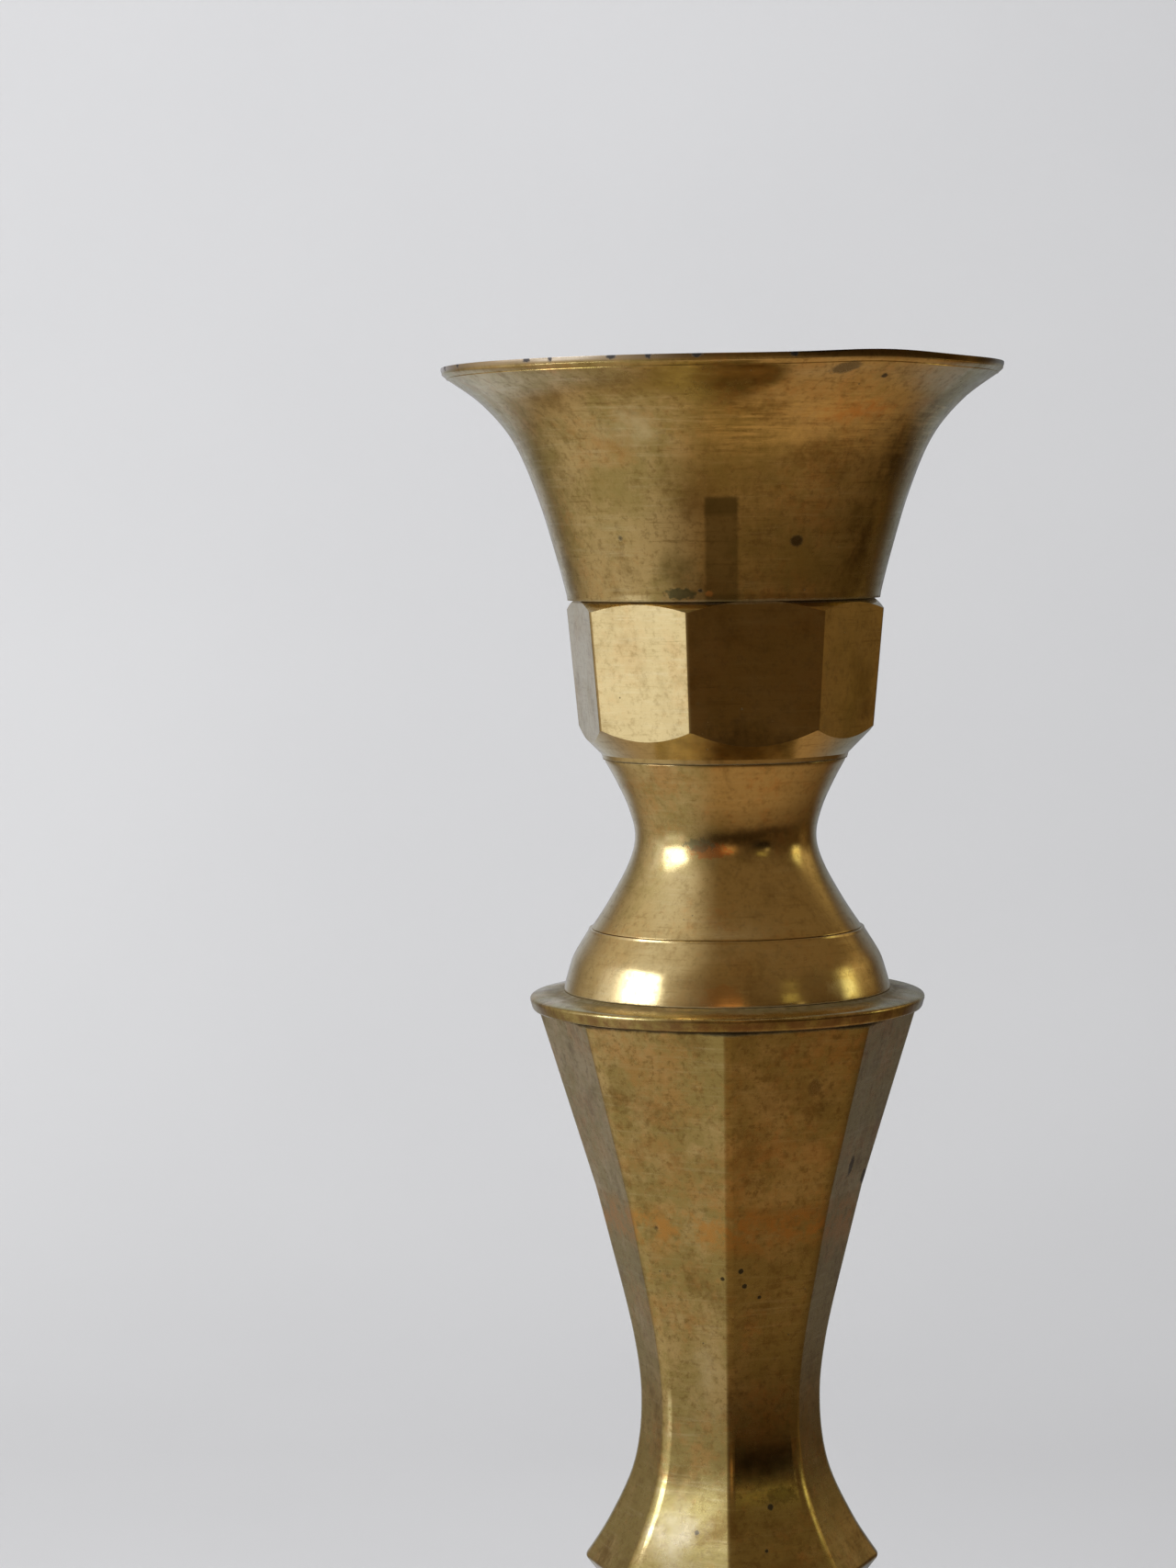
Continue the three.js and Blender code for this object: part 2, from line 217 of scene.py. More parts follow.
wall_side = abs(azimuth).rises(132, 162) * abs(elevation).rises(70, 40)
light = tree.mix(wall_side, light, tree.mix(azimuth.rises(-90, 90), (0.45, 0.47, 0.52), (0.22, 0.235, 0.26)))
mirrored = tree.node("ShaderNodeLightPath", output="Is Glossy Ray")
light = tree.mix(mirrored, (0.465, 0.465, 0.46), light)
glow = tree.node("ShaderNodeBackground", inputs=[light, 1.0])
tree.node("ShaderNodeOutputWorld", inputs=[glow])


def lamp(name, degrees, rise, distance, width, height, radiance, colour):
    """A rectangular light, turned `degrees` from the front and raised by `rise`, aimed at the head."""
    aim_at = Vector((0, 0, cad_high.z - 0.1))
    turn, tilt = math.radians(degrees), math.radians(rise)
    out = Vector((math.sin(turn) * math.cos(tilt), -math.cos(turn) * math.cos(tilt), math.sin(tilt)))
    bpy.ops.object.light_add(type="AREA", location=aim_at + out * distance)
    made = bpy.context.object
    made.name = name
    made.rotation_euler = out.to_track_quat("Z", "Y").to_euler()
    made.data.shape = "RECTANGLE"
    made.data.size = width
    made.data.size_y = height
    made.data.energy = radiance * math.pi * width * height
    made.data.color = colour
    made.visible_camera = False
    return made


lamp("window", -67, 18, 2.6, 1.3, 1.0, 4.2, (0.93, 0.97, 1.0))
wash = lamp("wall_wash", 0, 0, 0, 2.4, 1.6, 4.9, (1.0, 1.0, 0.985))
wash.visible_glossy = False
wash.location = (-1.6, -0.6, 1.6)
wash.rotation_euler = Vector((-1.9, -3.2, 0.2)).to_track_quat("Z", "Y").to_euler()


# ---- the foot ----
# An octagonal bell of cast brass on a low stepped plinth, filed and polished outside and rough inside. It is
# open underneath, and its end wall at the top takes the pull of the tie rod.


def curve(through, steps):
    """A smooth curve through a few (radius, height) pairs: Catmull-Rom, the same number of steps on each span."""
    ends = [through[0], *through, through[-1]]
    spans = len(through) - 1
    pairs = []
    for i in range(steps * spans + 1):
        span = min(i // steps, spans - 1)
        t = i / steps - span
        a, b, c, d = ends[span : span + 4]
        pairs.append(
            tuple(
                b[k]
                + 0.5 * t * (c[k] - a[k] + t * (2 * a[k] - 5 * b[k] + 4 * c[k] - d[k]))
                + 0.5 * t**3 * (3 * (b[k] - c[k]) + d[k] - a[k])
                for k in (0, 1)
            )
        )
    return pairs


def inside(pairs, first, last):
    """The pairs moved inwards by a wall thickness that runs from `first` to `last` along them."""
    moved = []
    for i, (r, z) in enumerate(pairs):
        r0, z0 = pairs[max(i - 1, 0)]
        r1, z1 = pairs[min(i + 1, len(pairs) - 1)]
        along = math.hypot(r1 - r0, z1 - z0)
        wall = first + (last - first) * i / (len(pairs) - 1)
        moved.append((r - (z1 - z0) / along * wall, z + (r1 - r0) / along * wall))
    return moved


def edit(piece, mode="VERT"):
    """Makes a piece the only one selected and opens it with nothing in it selected."""
    bpy.ops.object.select_all(action="DESELECT")
    piece.select_set(True)
    bpy.context.view_layer.objects.active = piece
    bpy.ops.object.mode_set(mode="EDIT")
    bpy.ops.mesh.select_mode(type=mode)
    bpy.ops.mesh.select_all(action="DESELECT")


def modify(piece, kind, **settings):
    """Adds a modifier to a piece and applies it."""
    bpy.ops.object.select_all(action="DESELECT")
    piece.select_set(True)
    bpy.context.view_layer.objects.active = piece
    bpy.ops.object.modifier_add(type=kind)
    modifier = piece.modifiers[-1]
    for name, value in settings.items():
        setattr(modifier, name, value)
    bpy.ops.object.modifier_apply(modifier=modifier.name)


def loft(name, outline, sides):
    """Carries a closed outline of (radius, height) pairs in millimetres round the axis, ring by ring."""
    radius, height = outline[0]
    bpy.ops.object.select_all(action="DESELECT")
    bpy.ops.mesh.primitive_circle_add(vertices=sides, radius=radius * MM, location=(0, 0, height * MM))
    piece = bpy.context.object
    piece.name = name
    bpy.ops.object.transform_apply(location=True, rotation=False, scale=False)
    bpy.ops.object.mode_set(mode="EDIT")
    bpy.ops.mesh.select_all(action="SELECT")
    for next_radius, next_height in [*outline[1:], outline[0]]:
        bpy.ops.mesh.extrude_region_move(TRANSFORM_OT_translate={"value": (0, 0, (next_height - height) * MM)})
        growth = next_radius / radius
        bpy.ops.transform.resize(value=(growth, growth, 1), center_override=(0, 0, 0))
        radius, height = next_radius, next_height
    bpy.ops.mesh.select_all(action="SELECT")
    bpy.ops.mesh.remove_doubles(threshold=MM / 500)
    bpy.ops.mesh.normals_make_consistent(inside=False)
    bpy.ops.object.mode_set(mode="OBJECT")
    return piece


def soften(piece, radius, segments=3, degrees=20):
    """Rounds a piece's edges, and keeps its broad faces flat in the light."""
    modify(
        piece,
        "BEVEL",
        width=radius * MM,
        segments=segments,
        limit_method="ANGLE",
        angle_limit=math.radians(degrees),
        use_clamp_overlap=True,
        miter_outer="MITER_ARC",
    )
    bpy.ops.object.shade_smooth()
    modify(piece, "WEIGHTED_NORMAL", weight=60, keep_sharp=True)


def round_corners(piece, radius, numbers=range(8)):
    """Rounds corners that run up the outside of an octagonal casting, numbered round it from the front."""
    edit(piece, "EDGE")
    bpy.ops.object.mode_set(mode="OBJECT")
    points = piece.data.vertices
    for edge in piece.data.edges:
        one, other = (points[i].co for i in edge.vertices)
        upright = one.xy.length > 0 and other.xy.length > 0 and one.xy.angle(other.xy) < 0.01
        faces_out = all(points[i].normal.xy.dot(points[i].co.xy.normalized()) > 0.3 for i in edge.vertices)
        number = round(math.degrees(math.atan2(one.x, -one.y)) / 45) % 8
        edge.select = upright and faces_out and number in numbers and abs(one.z - other.z) > 0.05 * MM
    bpy.ops.object.mode_set(mode="EDIT")
    bpy.ops.mesh.bevel(offset=radius * MM, segments=5, profile=0.5, clamp_overlap=False)
    bpy.ops.object.mode_set(mode="OBJECT")


def heights(node):
    """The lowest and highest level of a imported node, in millimetres."""
    low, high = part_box(node)
    return low.z / MM, high.z / MM


def wide(node):
    """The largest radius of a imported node, in millimetres."""
    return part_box(node)[1].x / MM


def stand_for(piece, node, material):
    """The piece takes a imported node's place, and wears its slot's material."""
    piece.data.materials.clear()
    piece.data.materials.append(material)
    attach(piece, "root")
    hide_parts(node)


class Finish(Tree):
    """A surface in the making, on coordinates in millimetres that are fixed to the piece."""

    def __init__(self, name, seed):
        self.material = bpy.data.materials.new(name)
        super().__init__(self.material)
        metres = self.node("ShaderNodeTexCoord", output="Object")
        self.place = self.node("ShaderNodeVectorMath", {"operation": "SCALE"}, {0: metres, "Scale": 1 / MM})
        self.x, self.y, self.z = self.axes(self.place)
        self.seed = seed

    def noise(self, size, detail=3, roughness=0.5, stretch=(1, 1, 1)):
        """Clouds about `size` millimetres across, or longer where `stretch` is small."""
        self.seed += 17
        place = self.node(
            "ShaderNodeMapping", inputs={"Vector": self.place, "Location": (self.seed,) * 3, "Scale": stretch}
        )
        return self.node(
            "ShaderNodeTexNoise",
            inputs={"Vector": place, "Scale": 1 / size, "Detail": detail, "Roughness": roughness},
        )

    def specks(self, size, share):
        """Small round dots, one in a cell of `size` millimetres, in a `share` of the cells."""
        self.seed += 17
        place = self.node("ShaderNodeMapping", inputs={"Vector": self.place, "Location": (self.seed,) * 3})
        cells = {"Vector": place, "Scale": 1 / size, "Randomness": 1.0}
        near = self.node("ShaderNodeTexVoronoi", inputs=cells)
        pick = self.node("ShaderNodeTexVoronoi", inputs=cells, output="Color")
        chance = self.axes(pick)[0]
        return near.rises(0.16, 0.07) * chance.rises(1 - share, 1 - share + 0.02)

    def surface(self, colour, roughness, metallic, height, depth, **fixed):
        """Ends the tree in one Principled surface with a bump of that depth in millimetres."""
        bump = self.node("ShaderNodeBump", inputs={"Strength": 1.0, "Distance": depth * MM, "Height": height})
        inputs = {"Base Color": colour, "Roughness": roughness, "Metallic": metallic, "Normal": bump, **fixed}
        shader = self.node("ShaderNodeBsdfPrincipled", inputs=inputs)
        self.node("ShaderNodeOutputMaterial", inputs={"Surface": shader})
        return self.material


GOLD = (0.80, 0.65, 0.36)
OLIVE = (0.52, 0.44, 0.18)
BROWN = (0.32, 0.215, 0.075)
COPPER = (0.80, 0.46, 0.19)
PALE_GOLD = (0.95, 0.86, 0.60)
DIRT = (0.035, 0.022, 0.012)
VERDIGRIS = (0.10, 0.20, 0.17)
SOOT_BLUE = (0.035, 0.04, 0.06)


class AgedBrass(Finish):
    """Brass polished long ago: olive tarnish in clouds, coppery flushes, fine scratches round it and dark pits."""

    def __init__(self, name, seed, tarnish=0.5, copper=0.35, scratches=0.3):
        super().__init__(name, seed)
        clouds = self.noise(26, 4, 0.6) * 0.55 + self.noise(7, 5, 0.65) * 0.3 + self.noise(1.4, 4, 0.7) * 0.15
        self.tarnish = clouds.rises(0.58 - 0.2 * tarnish, 0.8 - 0.3 * tarnish)
        self.colour = self.mix(self.tarnish * 0.85, GOLD, OLIVE)
        brown = self.noise(11, 6, 0.72).rises(0.5, 0.72)
        self.colour = self.mix(brown * (0.2 + 0.65 * tarnish), self.colour, BROWN)
        flush = self.noise(17, 4, 0.6) * 0.6 + self.noise(2.2, 5, 0.7) * 0.4
        self.colour = self.mix(flush.rises(0.49, 0.64) * copper, self.colour, COPPER)
        mottle = self.noise(1.6, 6, 0.75)
        self.colour = self.mix(mottle.rises(0.48, 0.66) * (0.15 + 0.5 * tarnish), self.colour, BROWN)
        self.streaks = self.noise(0.9, 5, 0.75, stretch=(0.06, 0.06, 1.0))
        self.colour = self.mix(self.streaks.rises(0.5, 0.75) * scratches, self.colour, PALE_GOLD)
        self.colour = self.mix(self.streaks.rises(0.44, 0.3) * scratches, self.colour, BROWN)
        self.pits = self.specks(6, 0.05)
        pinholes = self.specks(1.7, 0.04)
        self.colour = self.mix(self.pits * 0.9, self.colour, DIRT)
        self.colour = self.mix(pinholes * 0.6, self.colour, DIRT)
        self.dull = self._either(self.pits * 0.6, pinholes * 0.4)
        self.mottle = mottle
        self.fine = self.noise(0.3, 4, 0.7, stretch=(0.12, 0.12, 1.0))

    def grime(self, height, reach, strength=0.85):
        """Dirt that has gathered in a band either side of a joint line."""
        ragged = self.noise(3, 4, 0.7) - 0.5
        band = (abs(self.z - height) + ragged * reach).rises(reach, reach * 0.25) * strength
        self.colour = self.mix(band, self.colour, DIRT)
        self.dull = self._either(self.dull, band)

    def band(self, low, high, colour, strength=0.5, edge=3):
        """A ragged band of that colour all the way round, between two levels."""
        level = self.z + (self.noise(9, 5, 0.7) - 0.5) * 3 * edge
        share = level.rises(low - edge, low + edge) * level.rises(high + edge, high - edge)
        patchy = self.noise(5, 5, 0.7).rises(0.38, 0.6)
        self.colour = self.mix(share * patchy * strength, self.colour, colour)

    def stain(self, centre, size, colour, strength=0.8, ragged=0.5, matt=0.5, core=0.6):
        """A blot of that colour, about `size` millimetres in radius each way, that fades outside its core."""
        from_centre = self.node("ShaderNodeVectorMath", {"operation": "SUBTRACT"}, [self.place, centre])
        scaled = self.node("ShaderNodeVectorMath", {"operation": "DIVIDE"}, [from_centre, size])
        far = self.node("ShaderNodeVectorMath", {"operation": "LENGTH"}, [scaled], output="Value")
        rough_edge = (self.noise(max(min(size) * 0.7, 0.4), 4, 0.65) - 0.5) * ragged * 2
        blot = (far + rough_edge).rises(1.0, core) * strength
        self.colour = self.mix(blot, self.colour, colour)
        self.dull = self._either(self.dull, blot * matt)

    def cloud(self, centre, size, colour, strength):
        """A soft patch of that colour with no edge to it."""
        self.stain(centre, size, colour, strength, 1.1, 0, -0.4)

    def _either(self, one, other):
        return self.node("ShaderNodeMath", {"operation": "MAXIMUM"}, [one, other])

    def done(self, polish=0.16):
        """Ends the tree. A low `polish` is a bright surface and a high one a dull surface."""
        smear = self.noise(9, 5, 0.65).rises(0.35, 0.7)
        worn = self.mottle.rises(0.45, 0.75)
        roughness = self.tarnish * 0.08 + smear * 0.1 + worn * 0.08 + self.dull * 0.45 + (polish - 0.05)
        metallic = 1 - self.dull * 0.25
        waves = self.noise(14, 1)
        height = self.fine * 0.05 + self.streaks * 0.1 + self.mottle * 0.06 + waves * 0.7 - self.pits * 0.6
        return self.surface(self.colour, roughness, metallic, height, 0.07)


def on_side(degrees, radius, height):
    """The point at that radius and height, turned `degrees` from the front towards the right, in millimetres."""
    turn = math.radians(degrees)
    return (radius * math.sin(turn), -radius * math.cos(turn), height)


CLOSE = 0.26  # by this much each section is raised towards the next, which leaves a hair line, in millimetres
ROD_HOLE = 4.6
SPIGOT = 12
SPIGOT_HEIGHT = 2.5
WEB = 4

OCTAGON = 8
FOOT_RIM = 14
END_WALL = 6
low, high = heights("octagon_base")
top = high - SPIGOT_HEIGHT
reach = wide("octagon_base")
slope = curve([(90, 24), (70, 42), (53, 70), (43, 100), (38, 126), (38.5, top)], 6)
base = loft(
    "octagon_base_shell",
    [
        (reach - FOOT_RIM, low),
        (reach, low),
        (reach, low + 12.7),
        (reach - 3, low + 15.7),
        (reach - 7, low + 16.7),
        (reach - 7, low + 20.2),
        *slope,
        (SPIGOT, top),
        (SPIGOT, high),
        (ROD_HOLE, high),
        (ROD_HOLE, top - END_WALL),
        (32, top - END_WALL),
        *inside(slope[3:-8], 4, 4)[::-1],
        (reach - FOOT_RIM, low + 12.7),
    ],
    OCTAGON,
)
round_corners(base, 1.8)
soften(base, 0.7)
foot_brass = AgedBrass("foot_brass", 3, tarnish=0.7, copper=0.4)
foot_brass.grime(top, 1.2)
foot_brass.grime(low + 18, 2.5, 0.6)
foot_brass.grime(low, 2.0, 0.7)
stand_for(base, "octagon_base", foot_brass.done(0.3))


# ---- the felt ----
# A ring of green wool felt, cut to the shape of the foot and glued under its rim. Its cut edge is a little fluffy.
low, high = heights("felt_ring")
felt_edge = wide("felt_ring")
felt_hole = reach - FOOT_RIM
felt_ring = loft(
    "felt_ring_cut",
    [(felt_hole, low), (felt_edge, low), (felt_edge, high + 0.2), (felt_hole, high + 0.2)],
    OCTAGON,
)
edit(felt_ring)
bpy.ops.mesh.select_all(action="SELECT")
bpy.ops.mesh.subdivide(number_cuts=24)
bpy.ops.object.mode_set(mode="OBJECT")
soften(felt_ring, 0.4, 2, 40)
wool = Finish("green_felt", 97)
nap = wool.noise(0.5, 5, 0.8)
fibres = wool.noise(0.25, 3, 0.8, stretch=(1, 0.25, 1)) * 0.5 + wool.noise(0.25, 3, 0.8, stretch=(0.25, 1, 1)) * 0.5
green = wool.mix(wool.noise(20, 4).rises(0.35, 0.65), (0.018, 0.05, 0.028), (0.03, 0.075, 0.042))
green = wool.mix(fibres.rises(0.45, 0.75) * 0.6, green, (0.07, 0.13, 0.085))
dust = wool.noise(5, 5, 0.75).rises(0.58, 0.72)
green = wool.mix(dust * 0.4, green, (0.12, 0.11, 0.09))
felt_material = wool.surface(
    green, 0.95 - fibres * 0.1, 0.0, nap * 0.6 + fibres * 0.4, 0.35, **{"Sheen Weight": 0.6, "Sheen Roughness": 0.5}
)
stand_for(felt_ring, "felt_ring", felt_material)


# ---- the sections between foot and stem ----
# Turned brass: a waisted neck, a low dome and a thin flange, each centred on the spigot of the one below.
ROUND = 160


def recess(low_level, sides):
    """The underside of a section: its rod hole and the recess that drops over the spigot below."""
    radius = (SPIGOT + 0.3) / math.cos(math.pi / sides)
    roof = low_level + SPIGOT_HEIGHT + 0.3
    return [(ROD_HOLE, roof), (radius, roof), (radius, low_level)]


def spigot(top_level):
    """The top of a section: the spigot that centres the next one."""
    top_of_spigot = top_level + SPIGOT_HEIGHT
    return [(SPIGOT, top_level), (SPIGOT, top_of_spigot), (ROD_HOLE, top_of_spigot)]


def section(name, node, outer, core=(), sides=ROUND):
    """A stacked section from its outer outline, whose ends are moved to close the joint lines."""
    low_level, high_level = heights(node)
    top_level = high_level - SPIGOT_HEIGHT
    body = [(r, z + CLOSE if z > top_level - 0.01 else z) for r, z in outer]
    return loft(name, [*recess(low_level, sides), *body, *spigot(top_level + CLOSE), *core], sides)


def hollow(node, pairs):
    """The core of a section, between the end walls that the rod goes through."""
    low_level, high_level = heights(node)
    ceiling = high_level - SPIGOT_HEIGHT - WEB
    return [(ROD_HOLE, ceiling), *pairs, (ROD_HOLE, low_level + WEB + SPIGOT_HEIGHT)]


low, high = heights("base_neck")
top = high - SPIGOT_HEIGHT
throat = curve([(35, low + 3), (28.6, low + 6.5), (24.6, low + 12.5), (24.2, low + 19), (27.6, top)], 8)
base_neck = section(
    "base_neck_turned",
    "base_neck",
    [(36.6, low), (37, low + 1.6), *throat],
    hollow("base_neck", [(18, top - WEB), (18, low + WEB + SPIGOT_HEIGHT)]),
)
soften(base_neck, 0.3)
lower_brass = AgedBrass("lower_brass", 11, tarnish=0.6, copper=0.45)
lower_brass.grime(low, 0.9)
lower_brass.grime(low + 3, 0.8, 0.6)
lower_brass.grime(top, 0.7, 0.7)
lower_material = lower_brass.done()
stand_for(base_neck, "base_neck", lower_material)


def dome(height):
    """The outline of a shoulder, from its wide end: radius and distance from that end."""
    return curve([(33, 0), (32.8, 1), (32.2, 3.2), (31, 6.8), (28.8, 10.5), (27.8, height)], 6)


low, high = heights("lower_shoulder")
top = high - SPIGOT_HEIGHT
outer = [(r, top - z) for r, z in dome(top - low)]
lower_shoulder = section("lower_shoulder_turned", "lower_shoulder", outer[::-1])
soften(lower_shoulder, 0.3)
stand_for(lower_shoulder, "lower_shoulder", lower_material)


def flange(name, node):
    """A thin turned disc that slopes down to a rounded edge."""
    low_level, high_level = heights(node)
    top_level = high_level - SPIGOT_HEIGHT
    edge = wide(node)
    return section(
        name,
        node,
        [
            (edge - 0.9, low_level),
            (edge - 0.5, low_level + 0.3),
            (edge - 0.05, low_level + 1.8),
            (edge, low_level + 2.3),
            (edge - 0.35, low_level + 2.7),
            (edge - 1.6, low_level + 3.0),
            (34.2, top_level - 0.2),
            (33.4, top_level),
        ],
    )


low, high = heights("lower_flange")
lower_flange = flange("lower_flange_turned", "lower_flange")
soften(lower_flange, 0.25)
flange_brass = AgedBrass("lower_flange_brass", 23, tarnish=0.7, copper=0.3)
flange_brass.grime(low, 0.7)
flange_brass.grime(high - SPIGOT_HEIGHT, 0.7)
stand_for(lower_flange, "lower_flange", flange_brass.done())


# ---- the lower stem ----
# A long octagonal casting, filed flat and polished: broad where it stands on the flange and slim under the ring.
low, high = heights("lower_stem")
top = high - SPIGOT_HEIGHT
side = curve([(36, low), (33, low + 11), (27, low + 39), (21.5, low + 78), (18.6, low + 121), (18.4, 324), (19.6, top)], 7)
lower_stem = section(
    "lower_stem_cast",
    "lower_stem",
    side,
    hollow("lower_stem", [(12.6, top - WEB), *inside(side[9:-3], 4, 4)[::-1], (26, low + WEB + SPIGOT_HEIGHT)]),
    OCTAGON,
)
round_corners(lower_stem, 2.2)
soften(lower_stem, 0.7, 3)
stem_brass = AgedBrass("lower_stem_brass", 31, tarnish=0.55, copper=0.5)
stem_brass.grime(low, 1.2)
stem_brass.grime(top, 1.0)
stand_for(lower_stem, "lower_stem", stem_brass.done())


# ---- the middle ring ----
# A turned brass bead between two small fillets, where the two castings of the stem meet.
low, high = heights("middle_ring")
top = high - SPIGOT_HEIGHT
half = (top - low) / 2
bead = []
for degrees in range(-75, 76, 10):
    turn = math.radians(degrees)
    bead.append((21 + 4.6 * math.cos(turn), low + half + (half - 0.9) * math.sin(turn)))
middle_ring = section("middle_ring_turned", "middle_ring", [(21, low), (21.4, low + 0.7), *bead, (21.4, top - 0.7), (21, top)])
soften(middle_ring, 0.2)
ring_brass = AgedBrass("middle_ring_brass", 37, tarnish=0.6, copper=0.3)
ring_brass.grime(low, 1.0)
ring_brass.grime(top, 1.0)
stand_for(middle_ring, "middle_ring", ring_brass.done())


# ---- the upper baluster ----
# An octagonal casting with soft polished edges: a sharp knop near its foot, a slim waist, and straight flats that
# widen to the flange. The polish is worn to copper half way up, and the casting shows a few pits.
low, high = heights("upper_baluster")
top = high - SPIGOT_HEIGHT
knop = low + 22.3
lower_side = curve([(19.6, low), (20.6, low + 5), (24.6, low + 14.4), (30.4, knop)], 5)
flared = curve([(30.4, knop), (25.2, 376.4), (20.1, 387.9), (18.6, 401), (20.1, 414.6), (24.6, 433.5), (27.5, 445)], 7)
core = [(29, top - WEB), *inside(flared[8:], 4, 4)[::-1], (14.5, 374), (14.5, low + WEB + SPIGOT_HEIGHT)]
upper_baluster = section(
    "upper_baluster_cast",
    "upper_baluster",
    [*lower_side, *flared[1:], (31.3, 457.3), (35.1, 469.6), (38.7, top)],
    hollow("upper_baluster", core),
    OCTAGON,
)
round_corners(upper_baluster, 1.0, [0])
round_corners(upper_baluster, 1.7, range(1, 8))
soften(upper_baluster, 0.7, 3)
upper_stem_brass = AgedBrass("upper_stem_brass", 41, tarnish=0.95, copper=0.5)
upper_stem_brass.grime(low, 1.0)
upper_stem_brass.grime(top, 0.9)
upper_stem_brass.band(436, 444, (0.82, 0.47, 0.16), 0.9, 2.5)
upper_stem_brass.band(452, 458, COPPER, 0.3, 2)
for place, size in (
    (on_side(5.6, 23.3, 431.6), 0.7),
    (on_side(-3.3, 23.2, 430.1), 0.55),
    (on_side(7.7, 22.3, 428.4), 0.65),
    (on_side(16.2, 21.1, 425.8), 0.5),
    (on_side(22.6, 20.2, 383.1), 0.8),
    (on_side(-18.1, 22.3, 378.6), 0.6),
    (on_side(16.8, 23.9, 375.4), 0.5),
):
    upper_stem_brass.stain(place, (size,) * 3, DIRT, 0.9, 0.3)
upper_stem_brass.stain(on_side(31.2, 32.6, 468.8), (1.6, 1.6, 2.2), BROWN, 0.8, 0.4, 0.2)
upper_stem_brass.stain(on_side(65, 27, 450.6), (1.4, 1.4, 3.0), SOOT_BLUE, 0.8, 0.6)
upper_stem_brass.stain(on_side(86, 27.2, 447), (1.6, 1.6, 2.2), SOOT_BLUE, 0.8, 0.6)
upper_stem_brass.stain(on_side(30.5, 19.7, 385), (4, 4, 1.8), (0.2, 0.17, 0.06), 0.5, 1.0, 0)
for place, size, colour, strength in (
    (on_side(22, 36, 468), (10, 8, 13), BROWN, 0.75),
    (on_side(36, 33, 462), (5, 5, 18), DIRT, 0.35),
    (on_side(-14, 19, 410), (5, 4, 12), PALE_GOLD, 0.6),
    # Painted highlight: the whitish patch on the left flat just above the knop stands for the window mirrored there.
    (on_side(-28, 24, 377), (8, 8, 10), (0.95, 0.88, 0.76), 0.6),
    (on_side(22, 27, 368), (12, 9, 9), BROWN, 0.8),
    (on_side(20, 19, 391), (9, 8, 6), DIRT, 0.75),
    (on_side(-50, 28, 366), (5, 9, 12), BROWN, 0.6),
):
    upper_stem_brass.cloud(place, size, colour, strength)
stand_for(upper_baluster, "upper_baluster", upper_stem_brass.done(0.17))


# ---- the drip flange ----
# The thin turned disc that catches wax, clamped between the baluster and the shoulder. Dirt fills its corners.
low, high = heights("drip_flange")
drip_flange = flange("drip_flange_turned", "drip_flange")
soften(drip_flange, 0.25)
drip_brass = AgedBrass("drip_flange_brass", 53, tarnish=1.0, copper=0.4)
drip_brass.grime(low, 0.35, 0.6)
drip_brass.grime(high - SPIGOT_HEIGHT, 0.6, 0.5)
drip_brass.band(low, low + 2, (0.36, 0.22, 0.12), 0.8, 1)
stand_for(drip_flange, "drip_flange", drip_brass.done())


# ---- the shoulder ----
# A low dome of turned brass on the flange, the brightest polish on the candlestick.
low, high = heights("upper_shoulder")
top = high - SPIGOT_HEIGHT
outer = [(r, low + z) for r, z in dome(top - low)]
upper_shoulder = section("upper_shoulder_turned", "upper_shoulder", outer)
soften(upper_shoulder, 0.3)
shoulder_brass = AgedBrass("shoulder_brass", 59, tarnish=0.35, copper=0.2)
shoulder_brass.grime(low, 0.35, 0.6)
# Painted reflections: a copper-orange glow at the front and a pale gold highlight at the right, where a warm lamp shows
# in the dome.
shoulder_brass.stain(on_side(-1, 32.9, 487.5), (5, 5, 3.2), COPPER, 0.5, 0.8, 0)
shoulder_brass.stain(on_side(44, 32.7, 487.6), (5, 5, 2.4), PALE_GOLD, 0.6, 0.6, 0)
stand_for(upper_shoulder, "upper_shoulder", shoulder_brass.done(0.19))


# ---- the neck ----
# A waisted section of turned brass. Copper shows through at the waist, with a trace of verdigris.
low, high = heights("neck")
top = high - SPIGOT_HEIGHT
waist = curve([(27.3, low), (23.7, 503.1), (19.7, 510.5), (18.3, 516.1), (19.5, 521.7), (22, 527.3), (24.3, top)], 8)
core = [(14, top - WEB), (11.5, 518), (11.5, 513), (16, low + WEB + SPIGOT_HEIGHT)]
neck = section("neck_turned", "neck", waist, hollow("neck", core))
soften(neck, 0.2)
neck_brass = AgedBrass("neck_brass", 61, tarnish=0.45, copper=0.5)
neck_brass.stain(on_side(-10, 18.8, 514.5), (5, 5, 1.8), (0.75, 0.33, 0.13), 0.75, 1.0, 0)
neck_brass.stain(on_side(-16, 18.3, 515.6), (3.4, 3.4, 1.6), (0.13, 0.15, 0.1), 0.6, 1.2, 0.2)
# Painted reflection: a dark band slanting across the front of the waist stands for a dark part of the room mirrored in
# the brass.
slanting = neck_brass.z - neck_brass.x * 0.1 + (neck_brass.noise(4, 5, 0.75) - 0.5) * 4
painted_reflection_band = slanting.rises(515.2, 517) * slanting.rises(519.4, 517) * neck_brass.x.rises(-8, -1)
painted_reflection_band = painted_reflection_band * neck_brass.noise(5, 5, 0.7).rises(0.3, 0.5) * neck_brass.x.rises(17, 9)
neck_brass.colour = neck_brass.mix(painted_reflection_band * 0.65, neck_brass.colour, (0.12, 0.075, 0.035))
stand_for(neck, "neck", neck_brass.done(0.17))


